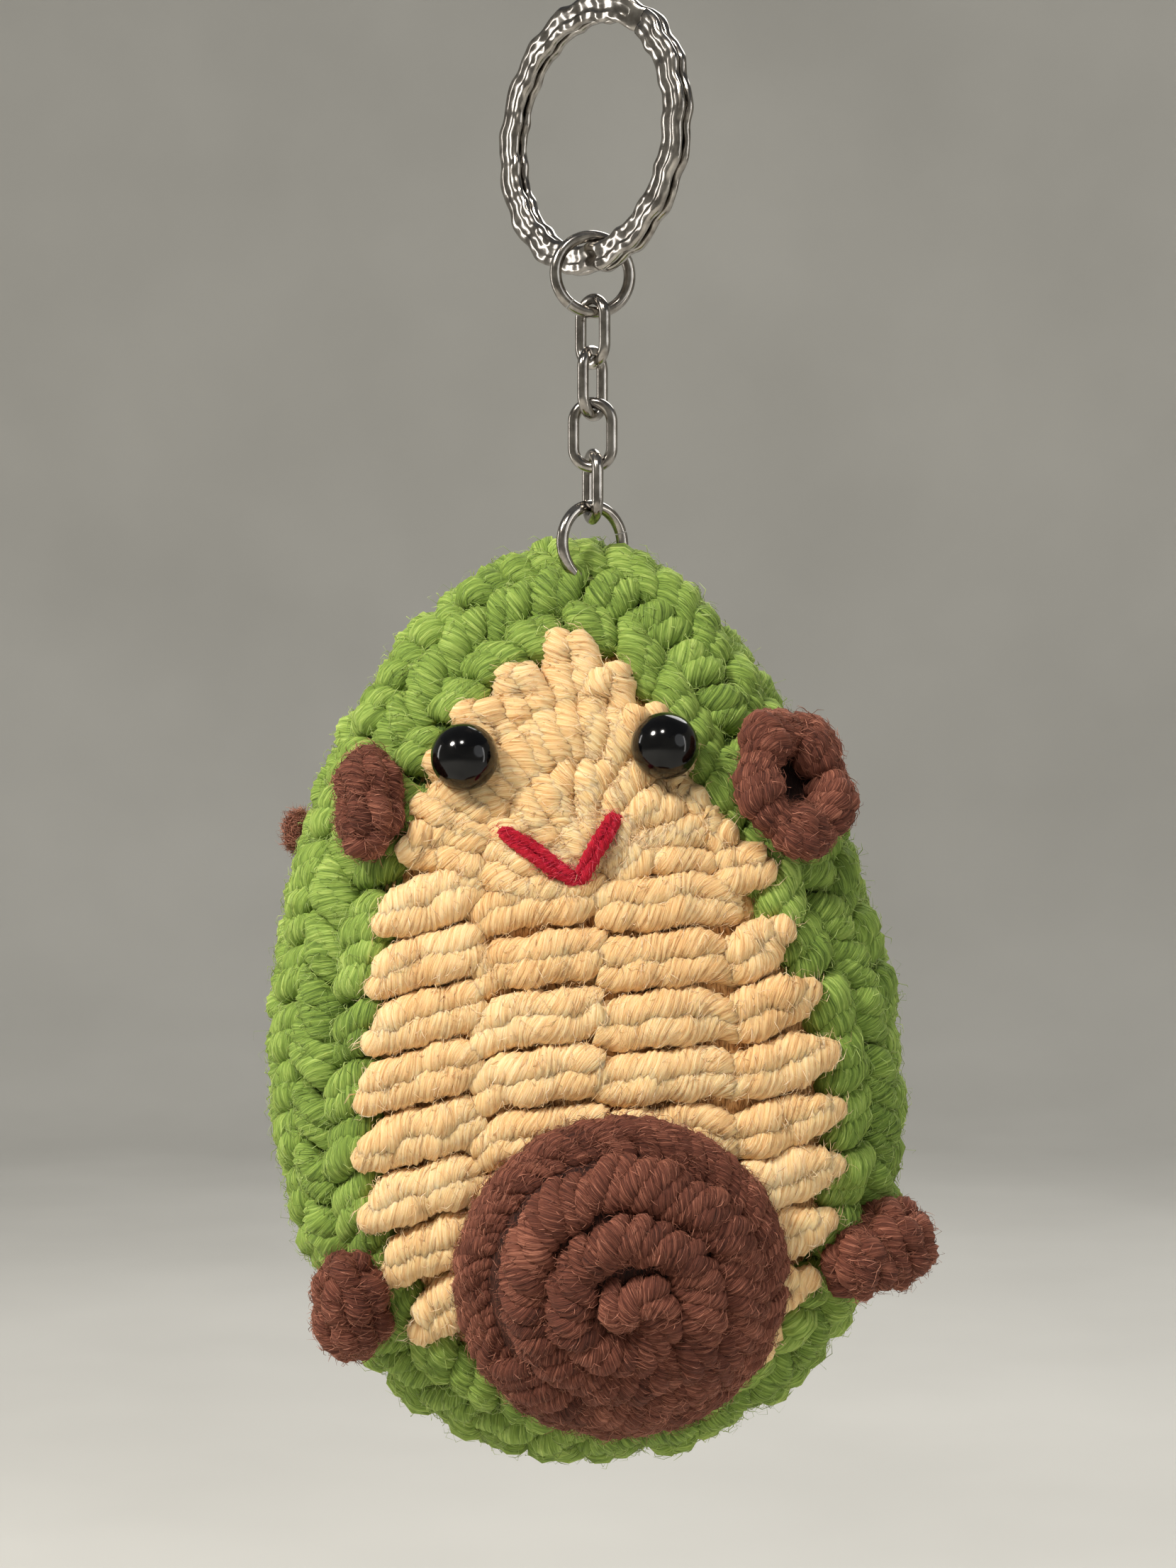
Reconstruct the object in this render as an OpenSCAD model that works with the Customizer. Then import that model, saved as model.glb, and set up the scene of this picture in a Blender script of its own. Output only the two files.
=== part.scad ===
// Crocheted avocado charm on a short chain and a wavy split ring, hanging at rest.
// Millimetres. The origin is the centre of the split ring's hole, +Z is up, and the
// face looks along -Y. The chain hangs straight down the Z axis.

/* [Split ring] */
// Outside diameter of the split ring
ring_od = 30; // [28:0.5:32]
// Radial width of its flat wire
ring_w = 3; // [2.8:0.1:3]
// Thickness of one coil of the wire
coil_t = 1; // [0.9:0.05:1]
// Turn of the ring's plane about the vertical, in degrees
ring_turn = -49; // [-52:1:-46]

/* [Chain] */
// Outside diameter of both jump rings
jump_od = 9.5; // [9.4:0.1:9.8]
// Wire of the jump rings
jump_wire = 1.3; // [1.2:0.05:1.3]
// Length of one chain link
link_len = 8.2; // [8:0.1:8.6]
// Width of one chain link
link_w = 5.4; // [5.3:0.1:5.6]
// Wire of the chain links
link_wire = 1.25; // [1.15:0.05:1.25]

/* [Body] */
// Height of the stuffed body
body_h = 99.6; // [96:0.2:104]
// Half of the body's width at its middle height
body_half_w = 33.4; // [32:0.2:34]
// Half of the body's depth at its middle height
body_half_d = 18.5; // [17:0.25:20]
// Thickness of the crocheted fabric
fabric_t = 3; // [2.5:0.1:3.2]

/* [Face] */
// Diameter of each eye
eye_d = 7; // [6:0.25:7.5]
// Diameter of the thread of the mouth
mouth_d = 1.3; // [1:0.1:1.6]

/* [Pit and limbs] */
// Width of the round pit patch
pit_w = 35; // [33:0.5:36]
// Height of the pit's padding over the body
pit_bulge = 6; // [4:0.5:7]
// Diameter of the ball on the right foot
foot_ball_d = 9.8; // [9:0.2:10.4]

/* [Hidden] */
$fn = 48;

// Colours
nickel = [0.78, 0.76, 0.72];
green = [0.43, 0.66, 0.24];
cream = [0.94, 0.8, 0.58];
brown = [0.45, 0.27, 0.22];
red = [0.75, 0.08, 0.16];
black = [0.03, 0.03, 0.03];
fill_white = [0.93, 0.93, 0.9];

// The split ring: two coils with a short crossover where the wire climbs a layer
coil_gap = 0.1;
layer = (coil_t + coil_gap) / 2;
ring_in = ring_od / 2 - ring_w;
cross_half = 11; // half of the crossover's angle
cross_at = 62; // where the crossover sits, in degrees round the ring
groove_d = 0.25; // depth of the groove along the face of the wire
groove_w = 0.35; // half of its width
edge_c = 0.3; // chamfer along the wire's edges

// The chain: every piece hangs in the one above with a little slack at the contact
slack = 0.15;
ring_rest = 0.4; // the jump ring rides this much high on the corners of the flat wire
jump_r = (jump_od - jump_wire) / 2;
jump_1_z = -ring_in - (jump_od / 2 - jump_wire) + ring_rest;
link_half = (link_len - link_wire) / 2;
link_1_z = jump_1_z - jump_r + jump_wire / 2 + link_wire / 2 + slack - link_half;
link_step = 2 * link_half - link_wire - slack;
jump_2_z = link_1_z - 3 * link_step - link_half + link_wire / 2 + jump_wire / 2 + slack - jump_r;
turn_jump_1 = 14;
turn_link = [-52, 60, -8, -75];
turn_jump_2 = 38;
cut_1 = 232; // where the butt cut of each jump ring sits
cut_2 = 20;
cut_angle = 2;

// The body: an egg in front view, pinched thinner towards its top
body_top = jump_2_z + 1;
body_taper = 0.18;
depth_taper = 0.2;
depth_pinch = 1.2;
roundness = 2.4; // exponent of the level cross-sections, 2 for an ellipse
body_x = -1.2;
body_lean_x = -2.6; // the upper half stands this much fuller to the left
mid_y_top = 3.4; // the ring holds the front of the top, so the body hangs behind it
mid_y_drop = 2.4;
centre = [body_x, body_top - body_h / 2];
flesh_top = body_top - 9.5;
flesh_h = 84.5;
flesh_half_w = 25;
flesh_taper = 0.32;
flesh_x = 1;
flesh_lean_x = -8;
shrink = [1 - fabric_t / body_half_w, 1 - fabric_t / body_half_d, 1 - fabric_t / (body_h / 2)];
around = 48; // columns of the body's surfaces
slope_step = 0.2; // the surface's slope is taken over twice this length
flesh_fr = [0.3, 0.55, 0.78, 0.92, 1];
rim_fr = [0.35, 0.65, 0.86, 0.95, 0.985];
edge_fr = [0.997, 1, 0.997];
back_fr = [0.985, 0.95, 0.85, 0.7, 0.5, 0.25];
rows = len(flesh_fr) + len(rim_fr) + len(edge_fr) + len(back_fr);
flesh_end = len(flesh_fr) - 1;
rim_end = flesh_end + len(rim_fr);
edge_end = rim_end + len(edge_fr) + 1;

// Places on the front, as [x, z]
left_eye_at = [-13, -67.5];
right_eye_at = [7.2, -66.4];
mouth_points = [[-9.6, -74.6], [-1.5, -80], [2.3, -73.1]];
pit_at = [2.9, -120.9];
pit_half = [pit_w / 2, pit_w / 2 + 0.4];
pit_gap = 0.3;
pit_fabric = 2.6;
pit_columns = 36;
// The padding under the pit ends at the last of these shares of the patch's radius
pit_pad_levels = [0.25, 0.5, 0.7, 0.85];
pit_pad_edge = 0.85;
function pit_rise(s) =
    s >= pit_pad_edge ? 0 : pit_bulge * pow(1 - pow(s / pit_pad_edge, 2), 0.8);
pit_pad_top = [for (s = concat([0], pit_pad_levels)) pit_rise(s)];
pit_flat = [for (h = pit_pad_top) 0];
pit_under = concat(pit_pad_top, [0]);
pit_over = [for (h = pit_under) h + pit_fabric];
tunnel_gap = 0.3;
shank_r = 1.5;
shank_len = 10;
shank_clear = 0.05; // round the shank in the fabric
eye_base = 0.25; // the dome's flat back stands this far off the fabric
eye_sunk = 0.45; // share of the radius that the dome's centre stands over its flat back
washer_r = 4.2;
washer_t = 1.2;
washer_depth = 4;
washer_clear = 0.03; // between the shank and the washer
pocket_clear = 0.3; // round the washer in the filling
mouth_lift = 0.35; // from the fabric to the thread
mouth_knot = 0.12; // the thread's bends are this much fuller in radius

// ---- shape functions ----

function unit(v) = v / norm(v);
// Cosine of the egg's polar angle at a height, from 1 at the top to -1 at the bottom
function polar_cos(z) = max(-1, min(1, 1 - 2 * (body_top - z) / body_h));
function level_half_w(c) = body_half_w * sqrt(1 - c * c) * (1 - body_taper * c);
function level_x(c) = body_x + body_lean_x * sqrt(1 - c * c) * c;
function level_half_d(c) =
    body_half_d * pow(sqrt(1 - c * c), depth_pinch) * (1 - depth_taper * c);
function mid_y(z) = mid_y_top - mid_y_drop * (body_top - z) / body_h;
// Depth of the surface in front of the middle plane, over the point [x, z] of the front view
function depth(x, z) =
    let (c = polar_cos(z), w = level_half_w(c), u = w < 0.01 ? 1 : min(1, abs(x - level_x(c)) / w))
    level_half_d(c) * pow(max(0, 1 - pow(u, roundness)), 1 / roundness);
function front_y(p) = mid_y(p[1]) - depth(p[0], p[1]);
// Outward direction of the front surface at [x, z]
function front_normal(p) =
    let (h = slope_step)
    unit([
        (depth(p[0] - h, p[1]) - depth(p[0] + h, p[1])) / (2 * h),
        -1,
        (depth(p[0], p[1] - h) - depth(p[0], p[1] + h)) / (2 * h)
    ]);
function body_outline(a) = [
    body_x + body_lean_x * abs(sin(a)) * cos(a) + body_half_w * sin(a) * (1 - body_taper * cos(a)),
    body_top - body_h / 2 * (1 - cos(a))
];
function flesh_outline(a) = [
    flesh_x + flesh_lean_x * max(0, abs(sin(a)) * cos(a))
        + flesh_half_w * sin(a) * (1 - flesh_taper * cos(a)),
    flesh_top - flesh_h / 2 * (1 - cos(a))
];
function over(p, side) = [p[0], mid_y(p[1]) + side * depth(p[0], p[1]), p[1]];

// One ring of points of the body's outside, counted from the front pole to the back pole
function body_row(i) = [
    for (k = [0 : around - 1])
        let (
            a = (k + 0.5) * 360 / around,
            f = flesh_outline(a),
            o = body_outline(a),
            j = i - flesh_end - 1,
            e = i - rim_end - 1,
            b = i - rim_end - 1 - len(edge_fr)
        )
        i <= flesh_end ? over(centre + flesh_fr[i] * (f - centre), -1)
        : i <= rim_end ? over(f + rim_fr[j] * (o - f), -1)
        : b < 0 ? over(f + edge_fr[e] * (o - f), e == 2 ? 1 : -1)
        : over(centre + back_fr[b] * (o - centre), 1)
];
function inward(p) =
    let (m = [centre[0], mid_y(centre[1]), centre[1]])
    [for (k = [0 : 2]) m[k] + (p[k] - m[k]) * shrink[k]];
front_pole = over(centre, -1);
back_pole = over(centre, 1);

// Triangles between two rings of points that start at indices lo and hi
function band(lo, hi, n) = [
    for (k = [0 : n - 1])
        let (m = (k + 1) % n)
        each [[lo + k, hi + k, hi + m], [lo + k, hi + m, lo + m]]
];
function flip(faces) = [for (f = faces) [f[2], f[1], f[0]]];
function fan(pole, first, n) = [for (k = [0 : n - 1]) [pole, first + k, first + (k + 1) % n]];

// ---- general pieces ----

// A fabric shell from row i to row j of the body, closed at a pole where it has one
module shell(i, j) {
    n = around;
    count = j - i + 1;
    outer = [for (r = [i : j]) each body_row(r)];
    inner = [for (p = outer) inward(p)];
    poles = i == 0 ? [front_pole, inward(front_pole)] : [back_pole, inward(back_pole)];
    in0 = count * n;
    pole_at = 2 * count * n;
    skin = [for (r = [0 : count - 2]) each band(r * n, (r + 1) * n, n)];
    lining = [for (r = [0 : count - 2]) each flip(band(in0 + r * n, in0 + (r + 1) * n, n))];
    first_wall = band(in0, 0, n);
    last_wall = band((count - 1) * n, in0 + (count - 1) * n, n);
    front_cap = concat(fan(pole_at, 0, n), flip(fan(pole_at + 1, in0, n)));
    back_cap = concat(flip(fan(pole_at, (count - 1) * n, n)),
        fan(pole_at + 1, in0 + (count - 1) * n, n));
    faces = concat(
        skin,
        lining,
        i == 0 ? front_cap : first_wall,
        j == rows - 1 ? back_cap : last_wall
    );
    closed = i == 0 || j == rows - 1;
    polyhedron(points = concat(outer, inner, closed ? poles : []), faces = faces);
}

// The whole body as one solid, either its outside or the space that the fabric leaves
module body_solid(inside) {
    n = around;
    outer = [for (r = [0 : rows - 1]) each body_row(r)];
    points = concat(outer, [front_pole, back_pole]);
    faces = concat(
        [for (r = [0 : rows - 2]) each band(r * n, (r + 1) * n, n)],
        fan(rows * n, 0, n),
        flip(fan(rows * n + 1, (rows - 1) * n, n))
    );
    polyhedron(points = inside ? [for (p = points) inward(p)] : points, faces = faces);
}

// A pad over the front between two heights above the body, on a round outline
module pad(low, high, levels) {
    function pad_point(s, a, h) =
        let (x = pit_at[0] + pit_half[0] * s * cos(a), z = pit_at[1] + pit_half[1] * s * sin(a))
        [x, front_y([x, z]) - pit_gap - h, z];
    n = pit_columns;
    count = len(levels);
    top = [for (i = [0 : count - 1]) for (k = [0 : n - 1])
        pad_point(levels[i], k * 360 / n, high[i + 1])];
    under = [for (i = [0 : count - 1]) for (k = [0 : n - 1])
        pad_point(levels[i], k * 360 / n, low[i + 1])];
    sealed = high[count] == low[count];
    pole_at = 2 * count * n;
    last = (count - 1) * n;
    skins = [for (i = [0 : count - 2]) each flip(band(i * n, (i + 1) * n, n))];
    under_shift = count * n;
    under_faces = [for (i = [0 : count - 2])
        each band(under_shift + i * n,
            sealed && i == count - 2 ? last : under_shift + (i + 1) * n, n)];
    wall = flip(band(last, under_shift + last, n));
    points = concat(top, under, [pad_point(0, 0, high[0]), pad_point(0, 0, low[0])]);
    faces = concat(
        skins,
        under_faces,
        flip(fan(pole_at, 0, n)),
        fan(pole_at + 1, under_shift, n),
        sealed ? [] : wall
    );
    polyhedron(points = points, faces = faces);
}

// An open round of wire standing in the XZ plane, its cut centred on the angle cut_at
module open_ring(radius, wire, cut_at) {
    rotate([90, 0, 0])
        rotate([0, 0, cut_at + cut_angle / 2])
            rotate_extrude(angle = 360 - cut_angle, $fn = 72)
                translate([radius, 0])
                    circle(d = wire, $fn = 24);
}

// A torus that leaves room round the bottom jump ring wherever the body swings on it
module ring_tunnel() {
    translate([0, 0, jump_2_z])
        rotate([90, 0, turn_jump_2])
            rotate_extrude($fn = 72)
                translate([jump_r, 0])
                    circle(r = jump_wire / 2 + tunnel_gap, $fn = 24);
}

module half_link() {
    end_r = (link_w - link_wire) / 2;
    straight = link_half - end_r;
    rotate([90, 0, 0])
        translate([0, straight, 0])
            rotate_extrude(angle = 180)
                translate([end_r, 0])
                    circle(d = link_wire, $fn = 24);
    for (side = [-1, 1])
        translate([side * end_r, 0, 0])
            cylinder(d = link_wire, h = straight, $fn = 24);
}

module chain_link(i) {
    color(nickel)
        translate([0, 0, link_1_z - i * link_step])
            rotate([0, 0, turn_link[i]])
                union() {
                    half_link();
                    mirror([0, 0, 1])
                        half_link();
                }
}

// Stands its child, made along +Z, out of the front surface at [x, z]
module on_front(p) {
    n = front_normal(p);
    translate([p[0], front_y(p), p[1]])
        rotate([0, acos(n[2]), atan2(n[1], n[0])])
            children();
}

// A rounded lump with three half sizes, stacked from rings of points
module lump(half, columns, levels) {
    n = columns;
    points = concat(
        [for (i = [1 : levels - 1]) for (k = [0 : n - 1])
            let (t = 180 * i / levels, a = 360 * k / n)
            [half[0] * sin(t) * cos(a), half[1] * sin(t) * sin(a), half[2] * cos(t)]],
        [[0, 0, half[2]], [0, 0, -half[2]]]
    );
    top = (levels - 1) * n;
    faces = concat(
        [for (i = [0 : levels - 3]) each flip(band(i * n, (i + 1) * n, n))],
        flip(fan(top, 0, n)),
        fan(top + 1, (levels - 2) * n, n)
    );
    polyhedron(points = points, faces = faces);
}

// ---- metal ----

module coil(side) {
    w = ring_w / 2;
    t = coil_t / 2;
    middle = ring_od / 2 - w;
    // The groove runs along the outer face of each coil
    section = [
        [-w, -t + edge_c], [-w, t - edge_c], [-w + edge_c, t], [-groove_w, t],
        [0, t - groove_d], [groove_w, t], [w - edge_c, t], [w, t - edge_c],
        [w, -t + edge_c], [w - edge_c, -t], [-w + edge_c, -t]
    ];
    rotate([0, 0, cross_at + cross_half])
        rotate_extrude(angle = 360 - 2 * cross_half, $fn = 96)
            translate([middle, side * layer])
                polygon([for (p = section) [p[0], side * p[1]]]);
}

// The stretch of wire that climbs from the lower coil to the upper one
module crossover() {
    inset = 0.1; // keeps its faces off the coils' own faces
    seated = 0.8; // length that lies inside each coil's end
    t = coil_t / 2 - inset / 3;
    run = (ring_od / 2 - ring_w / 2) * sin(cross_half);
    side_view = [
        [-run - seated, -layer - t], [-run, -layer - t], [run, layer - t],
        [run + seated, layer - t], [run + seated, layer + t], [run, layer + t],
        [-run, -layer + t], [-run - seated, -layer + t]
    ];
    rotate([0, 0, cross_at])
        translate([ring_in + inset, 0, 0])
            rotate([90, 0, 90])
                linear_extrude(height = ring_w - 4 * inset)
                    polygon(side_view);
}

module split_ring() {
    color(nickel)
        rotate([90, 0, ring_turn])
            union() {
                coil(-1);
                coil(1);
                crossover();
            }
}

module top_jump_ring() {
    color(nickel)
        translate([0, 0, jump_1_z])
            rotate([0, 0, turn_jump_1])
                open_ring(jump_r, jump_wire, cut_1);
}

module bottom_jump_ring() {
    color(nickel)
        translate([0, 0, jump_2_z])
            rotate([0, 0, turn_jump_2])
                open_ring(jump_r, jump_wire, cut_2);
}

// ---- body ----

// Room for the shank of an eye through the fabric
module shank_hole(p) {
    on_front(p)
        translate([0, 0, -shank_len - 1])
            cylinder(r = shank_r + shank_clear, h = shank_len + 3);
}

module washer_pocket(p) {
    on_front(p)
        translate([0, 0, -shank_len - 0.5])
            cylinder(r = washer_r + pocket_clear, h = shank_len + 1);
}

module flesh_panel() {
    color(cream)
        difference() {
            shell(0, flesh_end);
            shank_hole(left_eye_at);
            shank_hole(right_eye_at);
        }
}

module front_rim() {
    color(green)
        difference() {
            shell(flesh_end, rim_end);
            ring_tunnel();
            shank_hole(left_eye_at);
            shank_hole(right_eye_at);
        }
}

module edge_seam() {
    color(green)
        difference() {
            shell(rim_end, edge_end);
            ring_tunnel();
        }
}

module back_panel() {
    color(green)
        difference() {
            shell(edge_end, rows - 1);
            ring_tunnel();
        }
}

module body_stuffing() {
    color(fill_white)
        difference() {
            body_solid(true);
            ring_tunnel();
            washer_pocket(left_eye_at);
            washer_pocket(right_eye_at);
        }
}

// ---- face ----

module eye(p) {
    r = eye_d / 2;
    color(black)
        on_front(p)
            union() {
                intersection() {
                    translate([0, 0, eye_base + eye_sunk * r])
                        sphere(r = r);
                    translate([-r, -r, eye_base])
                        cube([2 * r, 2 * r, 2 * r]);
                }
                translate([0, 0, -shank_len])
                    cylinder(r = shank_r, h = shank_len + eye_base + 0.5);
            }
}

module eye_washer(p) {
    color(fill_white)
        on_front(p)
            translate([0, 0, -washer_depth - washer_t])
                difference() {
                    cylinder(r = washer_r, h = washer_t);
                    translate([0, 0, -1])
                        cylinder(r = shank_r + washer_clear, h = washer_t + 2);
                }
}

// A V of thread that lies just over the fabric
module mouth_stitch() {
    r = mouth_d / 2;
    tips = [for (p = mouth_points) [p[0], front_y(p) - r - mouth_lift, p[1]]];
    color(red)
        union() {
            for (i = [0 : 1])
                translate(tips[i]) {
                    d = tips[i + 1] - tips[i];
                    rotate([0, acos(d[2] / norm(d)), atan2(d[1], d[0])])
                        cylinder(r = r, h = norm(d), $fn = 24);
                }
            for (t = tips)
                translate(t)
                    sphere(r = r + mouth_knot, $fn = 24);
        }
}

// ---- pit ----

module pit_cover() {
    color(brown)
        pad(pit_under, pit_over, concat(pit_pad_levels, [1]));
}

module pit_stuffing() {
    color(fill_white)
        pad(pit_flat, pit_pad_top, pit_pad_levels);
}

// ---- limbs ----

// A crocheted limb is trimmed where it sits against the body
module sewn_on() {
    color(brown)
        difference() {
            children();
            body_solid(false);
        }
}

// A lump that stands out of the front at [x, z], turned on its own base
module front_lump(at, half, lift, turn) {
    sewn_on()
        on_front(at)
            translate([0, 0, lift])
                rotate([0, 0, turn])
                    lump(half, 16, 8);
}

module left_arm() {
    front_lump([-22.4, -72.2], [6.3, 3.9, 3.8], 2.2, 8);
}

// The end of the arm's yarn, tied off behind the edge of the body
module left_arm_knot() {
    at = [-33.3, 4.2, -75];
    half = [1.7, 1.8, 2.4];
    sewn_on()
        translate(at)
            lump(half, 12, 6);
}

// A small cup with a thick rolled rim
module right_arm() {
    at = [19.2, -70.8];
    cup_r = 4.3;
    wall_r = 2.5;
    floor_t = 1.8;
    lift = 3.2;
    color(brown)
        on_front(at)
            translate([0, 0, lift])
                union() {
                    rotate_extrude($fn = 48)
                        translate([cup_r, 0])
                            circle(r = wall_r, $fn = 24);
                    translate([0, 0, -wall_r])
                        cylinder(r = cup_r, h = floor_t);
                }
}

module left_foot() {
    front_lump([-23.8, -123.1], [6.4, 4.3, 4.2], 2.4, -12);
}

// A ball that hangs on a smaller lobe at the edge of the body
module right_foot() {
    lobe_at = [26.3, -119.2];
    lobe_r = 3.8;
    lobe_lift = 2;
    ball_at = [31.2, -6.5, -118.2];
    sewn_on()
        union() {
            on_front(lobe_at)
                translate([0, 0, lobe_lift])
                    sphere(r = lobe_r);
            translate(ball_at)
                sphere(d = foot_ball_d);
        }
}

split_ring();
top_jump_ring();
chain_link(0);  // chain_link_1
chain_link(1);  // chain_link_2
chain_link(2);  // chain_link_3
chain_link(3);  // chain_link_4
bottom_jump_ring();
flesh_panel();
front_rim();
edge_seam();
back_panel();
body_stuffing();
eye(left_eye_at);  // left_eye
eye(right_eye_at);  // right_eye
eye_washer(left_eye_at);  // left_eye_washer
eye_washer(right_eye_at);  // right_eye_washer
mouth_stitch();
pit_cover();
pit_stuffing();
left_arm();
left_arm_knot();
right_arm();
left_foot();
right_foot();
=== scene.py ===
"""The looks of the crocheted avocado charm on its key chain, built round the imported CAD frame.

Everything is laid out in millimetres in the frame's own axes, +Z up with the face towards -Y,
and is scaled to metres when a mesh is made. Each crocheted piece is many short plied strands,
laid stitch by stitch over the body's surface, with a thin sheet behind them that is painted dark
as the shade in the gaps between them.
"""

import math

import bpy
import numpy as np
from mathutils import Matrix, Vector


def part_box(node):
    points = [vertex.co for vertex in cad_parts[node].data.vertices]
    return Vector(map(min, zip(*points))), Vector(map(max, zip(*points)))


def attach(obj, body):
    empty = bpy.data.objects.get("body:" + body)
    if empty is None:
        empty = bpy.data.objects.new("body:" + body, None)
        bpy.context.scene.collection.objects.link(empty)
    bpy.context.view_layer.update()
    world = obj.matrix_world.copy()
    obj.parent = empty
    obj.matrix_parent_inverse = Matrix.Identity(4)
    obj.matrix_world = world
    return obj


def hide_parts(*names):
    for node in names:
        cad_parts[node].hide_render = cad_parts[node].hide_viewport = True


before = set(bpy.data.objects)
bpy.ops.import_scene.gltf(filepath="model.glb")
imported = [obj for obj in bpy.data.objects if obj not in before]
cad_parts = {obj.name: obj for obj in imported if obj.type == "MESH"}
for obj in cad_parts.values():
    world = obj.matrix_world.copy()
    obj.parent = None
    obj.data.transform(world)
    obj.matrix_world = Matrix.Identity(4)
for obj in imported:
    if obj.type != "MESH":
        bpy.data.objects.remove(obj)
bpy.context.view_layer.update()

rng = np.random.default_rng(11)
MM = 0.001
TAU = 2 * math.pi

# The body's egg, as the CAD model has it
BODY_TOP = -43.0
BODY_H = 99.6
BODY_X = -1.2
BODY_LEAN = -2.6  # how far the upper half leans to the left, and the lower half to the right
HALF_W = 33.4
HALF_D = 18.5
TAPER = 0.18  # how much narrower the top is than the bottom
DEPTH_TAPER = 0.2
DEPTH_PINCH = 1.2  # over 1 thins the depth towards the top and bottom
ROUNDNESS = 2.4  # the power of the cross-section's curve, 2 being an ellipse
MID_Y_TOP = 3.4  # the middle plane's y at the top
MID_Y_DROP = 2.4  # and how far it comes forward by the bottom

# The cream's outline
FLESH_TOP = BODY_TOP - 9.5
FLESH_H = 84.5
FLESH_HALF_W = 25
FLESH_TAPER = 0.32
FLESH_X = 1
FLESH_LEAN = -8

# The cream's stitches run out from a foundation chain up the middle
CHAIN_X = 0.7
FLESH_MIDDLE = (CHAIN_X, -98.0)
INNER_LEFT_X = -12.3  # where the inner posts end and the outer ones begin
INNER_RIGHT_X = 15.1
ROW = 6.0
ROWS = 9
FIRST_ROW_Z = -81.7
LAST_INNER_Z = -125  # the pit covers the inner posts below this

# The fan of stitches over the face, and the crown's tall ones that end against the green
FAN_AT = (CHAIN_X, -79.0)
FAN_R = 12.6
FAN_INNER = 8
FAN_FROM = 12  # degrees
FAN_SWEEP = 158
CROWN_TIPS = [(-20.6, -75.4), (-18.4, -70.6), (-16.6, -65.6), (-13.2, -60.6), (-8.6, -56.6), (-2.7, -53.0),
              (1.8, -56.6), (5.9, -60.8), (9.2, -65.2), (11.4, -69.6), (15.0, -73.6), (19.0, -78.0)]

# The green runs from under the cream's edge, round the body, to an upright line down the back
GREEN_OVERLAP = 1.9
BACK_LINE_Z = -95.0
BACK_LINE_HALF = 17
ROUND_H = 5.5
STITCH_W = 6.1
# Each green piece's CAD node, its share of the way, its fibres, and its strands' step
GREEN_PIECES = {
    "front": ("front_rim", 0.0, 0.27, 6800, 0.58),
    "edge": ("edge_seam", 0.27, 0.42, 6400, 0.58),
    "back": ("back_panel", 0.42, 1.0, 3200, 0.85),
}
FRONT_ROUNDS = 2
EDGE_ROUNDS = 2

# The bottom jump ring, which the yarn keeps clear of
RING_Z = -44.0
RING_R = 4.1
RING_WIRE_R = 0.65
RING_TURN = 38  # degrees
RING_CLEARANCE = 0.12

# The split ring's flat wire
SPLIT_TURN = -49  # degrees
SPLIT_WIDTH = 3.0
SPLIT_THICK = 1.0
SPLIT_LAYER = 0.55  # each coil's distance from the ring's middle plane
SPLIT_CLIMB_AT = 62  # degrees, the middle of the step from one coil to the other
SPLIT_CLIMB = 11
SPLIT_WAVES = 17

# Places on the front, as (x, z)
MOUTH = [(-9.6, -74.6), (-1.5, -80.0), (2.3, -73.1)]
LEFT_ARM_AT = (-22.4, -72.2)
RIGHT_ARM_AT = (19.2, -70.8)
LEFT_FOOT_AT = (-23.8, -123.1)
RIGHT_FOOT_AT = (26.3, -119.2)
# Lumps that stand off the front, as (x, y, z)
ARM_TAIL_AT = (-32.0, 4.2, -75.0)
RIGHT_BALL_AT = (31.2, -6.5, -118.2)

# The pit: a padded disc whose swirl starts at its heart and widens by PIT_ROUND each turn
PIT_AT = (2.9, -120.9)
PIT_HALF = (17.5, 17.9)
PIT_GAP = 0.3
PIT_FABRIC = 2.6
PIT_BULGE = 6
PIT_PAD_EDGE = 0.85
PIT_HEART = (3.7, -124.0)
PIT_ROUND = 4.7
SWIRL_START = 1.9
SWIRL_CENTRED = 13.4  # from this far out the swirl runs round the disc's own centre
SWIRL_END = 14.8
PIT_EDGE_R = 16.4
PIT_EDGE_PUFFS = 34

SHADE_SHEET = (2.2, 3.0)  # how deep the two faces of the sheet painted as shade lie under the fabric's surface


# ---- the body's surface ----

def polar_cos(z):
    """1 at the body's top and -1 at its bottom."""
    return np.clip(1 - 2 * (BODY_TOP - z) / BODY_H, -1, 1)


def depth(x, z):
    """How far the surface stands from the middle plane, over the point (x, z) of the front view."""
    c = polar_cos(z)
    s = np.sqrt(1 - c * c)
    half_w = np.maximum(HALF_W * s * (1 - TAPER * c), 0.01)
    half_d = HALF_D * s ** DEPTH_PINCH * (1 - DEPTH_TAPER * c)
    u = np.minimum(1, np.abs(x - BODY_X - BODY_LEAN * s * c) / half_w)
    return half_d * (1 - u ** ROUNDNESS) ** (1 / ROUNDNESS)


def mid_y(z):
    return MID_Y_TOP - MID_Y_DROP * (BODY_TOP - z) / BODY_H


def unit(v):
    return v / np.maximum(np.linalg.norm(v, axis=-1, keepdims=True), 1e-9)


def front(x, z):
    """Points and outward normals of the front surface over (x, z)."""
    x, z = np.broadcast_arrays(np.asarray(x, float), np.asarray(z, float))
    step = 0.3
    normals = np.stack([
        (depth(x - step, z) - depth(x + step, z)) / (2 * step),
        -np.ones_like(x),
        (depth(x, z - step) - depth(x, z + step)) / (2 * step),
    ], -1)
    return np.stack([x, mid_y(z) - depth(x, z), z], -1), unit(normals)


def body_outline(a):
    """Places (x, z) round the body, from the top at angle 0."""
    lean = np.abs(np.sin(a)) * np.cos(a)
    x = BODY_X + BODY_LEAN * lean + HALF_W * np.sin(a) * (1 - TAPER * np.cos(a))
    return np.stack([x, BODY_TOP - BODY_H / 2 * (1 - np.cos(a))], -1)


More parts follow.
